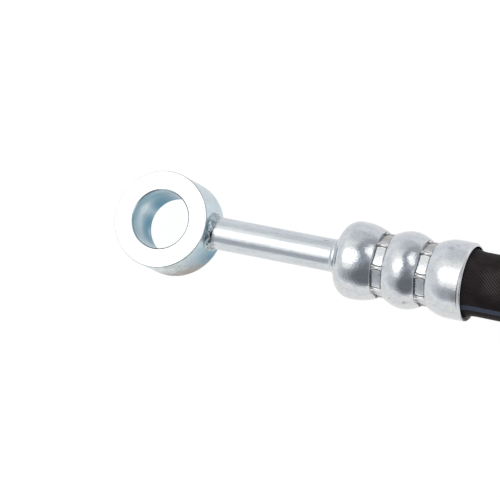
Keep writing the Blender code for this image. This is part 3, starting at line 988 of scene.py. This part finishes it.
def groove_floor(turn, share):
    """Radius of a pressed groove at a turn and at a share of its half width, and its painted shade, seams and
    painted highlights there.

    Each jaw leaves a nearly flat face, F / cos a at an angle a from its middle, slightly crowned. Between
    two faces a ridge stands, which is narrow and low in the middle of the groove and flares to its walls.
    """
    sector = 2 * pi / JAW_COUNT
    local = (turn - JAW_MIDDLE + sector / 2) % sector - sector / 2
    flat = JAW_FLAT * (1 + JAW_CROWN * (1 / np.cos(local) - 1))
    aside = (sector / 2 - np.abs(local)) * RIDGE_RADIUS
    top = RIDGE_TOP * (1 + RIDGE_TOP_GROWTH * share**2)
    foot = RIDGE_FOOT * (1 + RIDGE_FOOT_GROWTH * share**2)
    ridge = 1 - rise_between(aside, top, foot)
    crest = RIDGE_RADIUS + RIDGE_FLARE * share**2
    radius = flat + (crest - flat) * ridge
    # Painted shade at the foot of each wall, dark seams at the ridges' feet, and painted highlights on the
    # ridges and along the faces' edges.
    before = bell((1 + share) * GROOVE_WIDTH / 2, *SHADE_BEFORE)
    behind = 0.75 * bell((1 - share) * GROOVE_WIDTH / 2, *SHADE_BEHIND)
    seam = bell(aside - foot, *SEAM)
    soil_and_shade = np.maximum(np.maximum(before, behind), 0.9 * seam) * (1 - 0.8 * ridge) + 0.03
    wear_and_highlight = 0.75 * bell(aside - foot, *EDGE_HIGHLIGHT) + 0.6 * ridge
    return radius, soil_and_shade, wear_and_highlight * (1 - before) * (1 - behind)


def level(turn, place, radius, soil_and_shade=0.0, wear_and_highlight=0.0):
    """Places, radii, soil and painted shade, and wear and painted highlights, in the columns of one stretch,
    spread over every turn.
    """
    still = 0 * turn
    return np.broadcast_arrays(place + still, radius + still, soil_and_shade + still, wear_and_highlight + still)


def joined(stretches):
    """The columns of several stretches side by side."""
    return tuple(np.concatenate(values, axis=1) for values in zip(*stretches))


def groove(turn, start, before, after):
    """One groove. Before and after are the radii at which the bulges beside it end.

    Its walls stand nearly straight, with a rounded edge to the bulge on each side and a small fillet to
    the floor.
    """
    end = start + GROOVE_WIDTH
    half = GROOVE_WIDTH / 2
    middle = start + half
    foot_share = 1 - (WALL_DRAFT + WALL_FILLET) / half
    wall_floor = groove_floor(turn, np.array(1.0 - WALL_DRAFT / half))[0]
    foot_floor = groove_floor(turn, np.array(foot_share))[0]
    depth = SHOULDER_RADIUS - wall_floor
    drop = np.minimum(EDGE_ROUNDING, 0.55 * depth)
    lift = np.minimum(WALL_FILLET, 0.3 * depth)

    def side(sign, edge, bulge_end):
        wall = edge + sign * WALL_DRAFT
        edge_x = bezier(edge - sign * EDGE_ROUNDING, edge, wall, 6)
        edge_r = bezier(bulge_end, SHOULDER_RADIUS, SHOULDER_RADIUS - drop, 6)
        foot_x = bezier(wall, wall, middle - sign * foot_share * half, 4, False)
        foot_r = bezier(wall_floor + lift, wall_floor, foot_floor, 4, False)
        # Painted shade down the edge's rounding and the wall's foot.
        edge_painted_shade = np.linspace(0.0, 0.12, edge_x.shape[1])[None, :]
        foot_painted_shade = np.linspace(0.2, 0.7, foot_x.shape[1])[None, :]
        columns = joined((level(turn, edge_x, edge_r, edge_painted_shade), level(turn, foot_x, foot_r, foot_painted_shade)))
        return columns if sign > 0 else tuple(values[:, ::-1] for values in columns)

    share = np.linspace(-foot_share, foot_share, FLOOR_STEPS + 1)[None, 1:-1]
    floor = level(turn, middle + share * half, *groove_floor(turn, share))
    return joined((side(1, start, before), floor, side(-1, end, after)))


def flank(bulge, crest_at, edge, steps, power=2.0):
    """Places and radii from a bulge's crest to its shoulder: r = crest - drop t^power.

    It stops short of the groove's edge by the rounding there.
    """
    t = np.linspace(0.0, 1 - EDGE_ROUNDING / abs(edge - crest_at), steps + 1)[None, :]
    crest = CREST_RADII[bulge]
    return np.array((crest_at + t * (edge - crest_at), crest - (crest - SHOULDER_RADIUS) * t**power))


def neck_part(turn, crest_at):
    """From the hole round the pipe, over the rounded neck and up the first cheek to its crest."""
    hole = PIPE_RADIUS + GAP
    face = NECK_RADIUS - NECK_ROUNDING
    cheek_x = bezier(NECK_LENGTH, CHEEK_CORNER * crest_at, crest_at, CHEEK_STEPS, False)
    cheek_r = bezier(NECK_RADIUS, CREST_RADII[0], CREST_RADII[0], CHEEK_STEPS, False)
    return joined(
        (
            level(turn, np.array(((1.0, 0.5, 0.0),)) * NECK_ROUNDING, hole + NECK_HOLE_EDGE, 0.9),
            level(turn, 0.0, np.linspace(hole + NECK_FACE, face, 3)[None, :], 0.7),
            level(turn, bezier(0.0, 0.0, NECK_ROUNDING, 3), bezier(face, NECK_RADIUS, NECK_RADIUS, 3), 0.4),
            level(turn, cheek_x, cheek_r, 0.4 * np.exp((NECK_LENGTH - cheek_x) / NECK_ROUNDING)),
        )
    )


def bulges_part(turn, spans, crests):
    """From the first crest to the third, over the second bulge and the grooves on both sides of it."""
    falls = (
        flank(0, crests[0], spans[0, 1], 25, FIRST_FALL),
        flank(1, crests[1], spans[1, 0], 17),
        flank(1, crests[1], spans[1, 1], 17),
        flank(2, crests[2], spans[2, 0], 19),
    )
    ends = [fall[1][:, -1:] for fall in falls]
    return joined(
        (
            level(turn, *falls[0][..., 1:]),
            groove(turn, spans[0, 1], ends[0], ends[1]),
            level(turn, *falls[1][..., -2::-1]),
            level(turn, *falls[2][..., 1:]),
            groove(turn, spans[1, 1], ends[2], ends[3]),
            level(turn, *falls[3][..., -2::-1]),
        )
    )


def mouth_bevel(turn):
    """Length and height of the mouth's bevel, which is narrower at the bottom and on the upper side."""
    kept = 1 - 0.7 * spot(turn, -95, 32) - 0.5 * spot(turn, 34, 30)
    return MOUTH_BEVEL[0] * kept, MOUTH_BEVEL[1] * kept


def mouth_part(turn, crest_at, rim_painted_shade, inner_painted_shade):
    """From the third crest down to the mouth, over its bevel and lip, and a little way back inside."""
    bevel_x, bevel_r = mouth_bevel(turn)
    body_end = FERRULE_LENGTH - bevel_x
    lip = MOUTH_RADIUS - bevel_r
    face = lip - LIP_ROUNDING
    thin = lip - LIP_WIDTH
    throat = thin - THROAT_STEP
    throat_x = FERRULE_LENGTH - INNER_EDGE[0]
    body, slope, step = shares_after(19), shares_after(5), shares_after(3)
    fall = (CREST_RADII[2] - MOUTH_RADIUS) * body**2
    lip_x = bezier(FERRULE_LENGTH - LIP_ROUNDING, FERRULE_LENGTH, FERRULE_LENGTH, 5)
    inner_x = bezier(FERRULE_LENGTH, FERRULE_LENGTH, throat_x, 4)
    inner_r = bezier(thin + INNER_EDGE[1], thin, throat, 4)
    back_r = throat + step * (MOUTH_RADIUS - MOUTH_WALL - throat)
    return joined(
        (
            level(turn, crest_at + body * (body_end - crest_at), CREST_RADII[2] - fall),
            level(turn, body_end + slope * (bevel_x - LIP_ROUNDING), MOUTH_RADIUS - slope * bevel_r),
            level(turn, lip_x, bezier(lip, lip - LIP_DROP, face, 5), rim_painted_shade),
            level(turn, FERRULE_LENGTH, face + step * (thin + INNER_EDGE[1] - face), rim_painted_shade),
            level(turn, inner_x, inner_r, rim_painted_shade),
            level(turn, throat_x - step * THROAT_LENGTH, back_r, inner_painted_shade),
        )
    )


def inner_wall(turn, soil_and_shade):
    """Back along the inner wall to the hole round the pipe."""
    corners = np.concatenate((ferrule_inside()[::-1], ((NECK_ROUNDING, PIPE_RADIUS + GAP),)))
    wall = dense(corners, WALL_STEP, closed=False)
    wall = wall[(wall[:, 0] < FERRULE_LENGTH - WALL_ENDS[1]) & (wall[:, 0] > WALL_ENDS[0])]
    return level(turn, wall[None, :, 0], wall[None, :, 1], soil_and_shade)


# Stains and painted shade on the ferrule: place from the neck and length in millimetres, turn and width in
# degrees, depth
FERRULE_STAINS_AND_SHADE = (
    (32.75, 0.9, 42.0, 3.0, 0.6),
    (34.2, 0.4, 50.0, 1.6, 0.45),
    (35.9, 0.35, 58.0, 1.5, 0.4),
    (37.4, 0.25, -30.0, 7.0, 0.5),
    (5.4, 0.8, 52.0, 6.0, 0.2),
    (20.5, 1.6, 30.0, 9.0, 0.15),
    (22.15, 0.5, -64.0, 2.3, 0.95),
    (22.1, 0.35, -65.0, 1.2, 0.6),
    # This row is a painted reflection: it deepens the dark patch that the third bulge mirrors beside the
    # mouth.
    (36.7, 0.9, -35.0, 6.0, 0.5),
)

# Nicks in the ferrule: place and length, turn and width
FERRULE_NICKS = (
    (18.1, 0.25, -60.0, 1.4),
    (9.3, 0.3, -84.0, 1.2),
    (16.1, 0.2, -8.0, 0.9),
    (26.0, 0.25, 120.0, 1.3),
    (6.2, 0.4, 165.0, 1.6),
)


def ferrule_masks(turn, along, radius, soil_and_shade, wear_and_highlight):
    """The ferrule's masks: its stretches' soil, wear, painted shade and highlights, with stains, nicks and
    painted shade in its pockets.
    """
    bevel_x, bevel_r = mouth_bevel(turn)
    body_end = FERRULE_LENGTH - bevel_x
    stain_and_shade = sum(
        depth * bell(along, at * MM, length * MM) * spot(turn, middle, width)
        for at, length, middle, width, depth in FERRULE_STAINS_AND_SHADE
    )
    nick = sum(
        bell(along, at * MM, length * MM) * spot(turn, middle, width)
        for at, length, middle, width in FERRULE_NICKS
    )
    # Painted shade: the pockets at turns 57 and -80 are painted greyer.
    dull = 0.72 * spot(turn, 57, 19) + 0.45 * spot(turn, -80, 16)
    off_wall = 0.1 * MM
    spans = bulge_spans()
    for before, after in zip(spans[:-1], spans[1:]):
        inside_groove = (along > before[1] + off_wall) & (along < after[0] - off_wall)
        stain_and_shade = stain_and_shade + dull * inside_groove * (radius > JAW_FLAT - off_wall)
    # Painted reflection: a dark line along the bevel's kink.
    kink_painted_line = 0.12 * bell(along, body_end, 0.12 * MM) * (radius > MOUTH_RADIUS - 0.5 * bevel_r)
    # Painted highlight: the bevel is lightened on its upper side.
    bevel_painted_highlight = 0.9 * bell(along, body_end, 0.3 * MM) * spot(turn, 30, 30)
    masks = {"grime_and_shade": soil_and_shade + nick, "tint": stain_and_shade + kink_painted_line, "wear_and_highlight": wear_and_highlight + bevel_painted_highlight}
    return {name: np.clip(values, 0, 1) for name, values in masks.items()}


def ferrule_piece(prefix, move):
    """The ferrule: for every turn round it, a closed outline over its bulges and back along its inside.

    The first bulge rises on a Bezier curve, every other flank is a parabola or close to one, and the
    grooves are those of the jaws.
    """
    turn = jaw_turns()
    spans = bulge_spans()
    crests = crest_places(spans)
    # Painted shade: the rim is darker at the bottom, and the inside of the mouth darker all round.
    rim_painted_shade = 0.95 * spot(turn, -98, 30)
    inner_painted_shade = np.maximum(0.3, rim_painted_shade)
    stretches = (
        neck_part(turn, crests[0]),
        bulges_part(turn, spans, crests),
        mouth_part(turn, crests[2], rim_painted_shade, inner_painted_shade),
        inner_wall(turn, inner_painted_shade),
    )
    along, radius, soil_and_shade, wear_and_highlight = joined(stretches)
    grid = around_pipe(along + NECK_AT, radius, turn, move)
    masks = ferrule_masks(turn, along, radius, soil_and_shade, wear_and_highlight)
    piece = shell(prefix + "crimped_sleeve", grid, ZINC_FERRULE, masks)
    return finished(piece, prefix + "crimp_ferrule")


def fitting_pieces(prefix, move):
    """The eye, braze, pipe and ferrule of one end."""
    return [make(prefix, move) for make in (eye_piece, braze_piece, pipe_piece, ferrule_piece)]


fitting_pieces("", np.zeros(3))
far_pieces = fitting_pieces("far_", FAR_MOVE)

[tuple(float(value) for value in point) for point in hose_path]


# The floor: what the camera sees, what metal mirrors behind and before the fitting, how much light it
# scatters, where across the two mirrored colours meet, how far it reaches and how far down it lies
FLOOR_SEEN = 0.96
FLOOR_BEHIND = (0.84, 0.84, 0.86, 1.0)
FLOOR_BEFORE = (0.96, 0.935, 0.90, 1.0)
FLOOR_MATT = 0.1
FLOOR_TURNS = (-0.03, 0.05)
FLOOR_REACH = 3.0
FLOOR_DROP = 0.05 * MM


def studio_floor():
    """A plain pale floor. It shows pale to the camera and to shiny surfaces, and keeps the shadow."""
    data = bpy.data.meshes.new("studio_floor")
    ways = ((-1, -1), (1, -1), (1, 1), (-1, 1))
    corners = [(FLOOR_REACH * x, FLOOR_REACH * y, -FLOOR_DROP) for x, y in ways]
    data.from_pydata(corners, [], [(0, 1, 2, 3)])
    floor = in_scene("studio_floor", data)
    paint = bpy.data.materials.new("floor_white")
    paint.use_nodes = True
    tree = paint.node_tree
    tree.nodes.clear()
    rays = tree.nodes.new("ShaderNodeLightPath").outputs
    seen = maths(tree, "MAXIMUM", rays["Is Camera Ray"], rays["Is Transmission Ray"])
    across = put(tree, "ShaderNodeSeparateXYZ", {0: object_place(tree)}).outputs[1]
    behind = ramp(tree, across, *FLOOR_TURNS)
    mirrored = blend_colour(tree, behind, FLOOR_BEFORE, FLOOR_BEHIND)
    colour = blend_colour(tree, seen, mirrored, (FLOOR_SEEN, FLOOR_SEEN, FLOOR_SEEN, 1.0))
    shown = maths(tree, "MAXIMUM", seen, rays["Is Glossy Ray"])
    glow = put(tree, "ShaderNodeEmission", {"Color": colour, "Strength": shown}).outputs[0]
    matt = put(tree, "ShaderNodeBsdfDiffuse", {"Color": (FLOOR_MATT, FLOOR_MATT, FLOOR_MATT, 1.0)}).outputs[0]
    both = put(tree, "ShaderNodeAddShader", {0: glow, 1: matt}).outputs[0]
    put(tree, "ShaderNodeOutputMaterial", {"Surface": both})
    data.materials.append(paint)


def towards(azimuth, from_zenith):
    """The unit vector of a direction, in degrees from +X towards +Y and down from the zenith."""
    a, z = radians(azimuth), radians(from_zenith)
    return (sin(z) * cos(a), sin(z) * sin(a), cos(z))


# Parts of the studio by direction: azimuth, angle from the zenith, radius, soft edge, brightness and chill
STUDIO = (
    (67.0, 85.0, 42.0, 25.0, 0.72, 0.2),
    (234.0, 59.0, 18.0, 5.5, 0.77, 0.2),
    (253.0, 57.0, 17.0, 7.0, 0.60, 0.3),
    (295.0, 57.0, 32.0, 13.0, 0.21, 0.6),
    (326.0, 25.0, 9.5, 14.0, 0.26, 0.8),
    (142.0, 37.0, 15.0, 15.0, 1.15, -0.3),
    (45.0, 53.0, 36.0, 7.0, 0.50, 0.3),
    (348.0, 4.0, 9.5, 14.0, 0.48, 1.0),
    (40.0, 12.0, 8.0, 6.0, 0.40, 1.0),
    (80.0, 32.0, 12.0, 5.0, 0.44, 0.6),
    (32.0, 37.0, 9.0, 4.0, 1.35, -0.2),
    (53.0, 39.0, 10.0, 4.0, 1.65, -0.2),
    (60.0, 52.0, 6.0, 4.0, 1.3, 0.0),
    (228.0, 29.0, 8.0, 7.0, 1.2, -0.3),
    (173.0, 17.5, 19.0, 7.0, 1.95, -0.2),
)
STUDIO_WALLS = 0.93
STUDIO_HORIZON = 1.05


def light_colour(brightness, chill):
    """Grey of a brightness, drawn from red to blue by its chill."""
    return (brightness * (1 - 0.07 * chill), brightness, brightness * (1 + 0.12 * chill), 1.0)


def studio_light():
    """Soft studio light: grey walls that pale to the horizon, and each part laid over those before it."""
    world = bpy.data.worlds.new("studio")
    bpy.context.scene.world = world
    world.use_nodes = True
    tree = world.node_tree
    tree.nodes.clear()
    view = tree.nodes.new("ShaderNodeTexCoord").outputs["Generated"]
    height = put(tree, "ShaderNodeSeparateXYZ", {0: view}).outputs[2]
    above = ramp(tree, height, 0.1, 0.5)
    colour = blend_colour(tree, above, light_colour(STUDIO_HORIZON, 0.0), light_colour(STUDIO_WALLS, 0.0))
    for azimuth, from_zenith, radius, edge, brightness, chill in STUDIO:
        facing = put(
            tree, "ShaderNodeVectorMath", {0: view, 1: towards(azimuth, from_zenith)}, operation="DOT_PRODUCT"
        ).outputs["Value"]
        inside = ramp(tree, facing, cos(radians(radius + edge)), cos(radians(max(radius - edge, 0.0))))
        colour = blend_colour(tree, inside, colour, light_colour(brightness, chill))
    sky = put(tree, "ShaderNodeBackground", {"Color": colour, "Strength": 1.0})
    put(tree, "ShaderNodeOutputWorld", {"Surface": sky.outputs[0]})


# The photograph's metal mirrors neither the long leg nor the far fitting, so the scene leaves them out too
for far_off in [hose] + far_pieces:
    far_off.visible_glossy = False
studio_floor()
studio_light()
